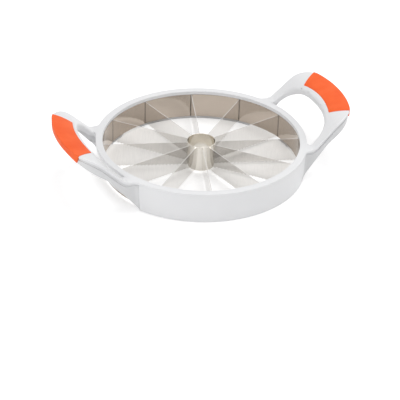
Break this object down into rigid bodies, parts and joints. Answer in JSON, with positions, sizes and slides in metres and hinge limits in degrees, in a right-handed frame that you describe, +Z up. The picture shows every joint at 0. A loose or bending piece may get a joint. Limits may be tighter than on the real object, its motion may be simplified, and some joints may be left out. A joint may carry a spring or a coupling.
{
  "type": "melon wedger",
  "caption": "Push-down melon wedger: a plastic ring with raised loop handles and soft grips round a steel hoop with serrated blades and a core tube.",
  "frame": {"origin": "centre of the ring on its base plane", "axes": "+X through the right handle, +Y away from the user, +Z up, the side that is pushed on"},
  "size_m": [0.3636, 0.2584, 0.0763],
  "materials": {
    "white_plastic": "satin moulded plastic",
    "grip_rubber": "soft-touch rubber",
    "stainless": "polished stainless steel"
  },
  "bodies": {
    "root": {"top_frame": "white_plastic", "bottom_frame": "white_plastic", "left_grip": "grip_rubber", "right_grip": "grip_rubber", "blade_band": "stainless", "core_tube": "stainless", "blade_01": "stainless", "blade_02": "stainless", "blade_03": "stainless", "blade_04": "stainless", "blade_05": "stainless", "blade_06": "stainless", "blade_07": "stainless", "blade_08": "stainless", "blade_09": "stainless", "blade_10": "stainless", "blade_11": "stainless", "blade_12": "stainless", "root_screws": "stainless", "grip_screws": "stainless"}
  },
  "joints": []
}
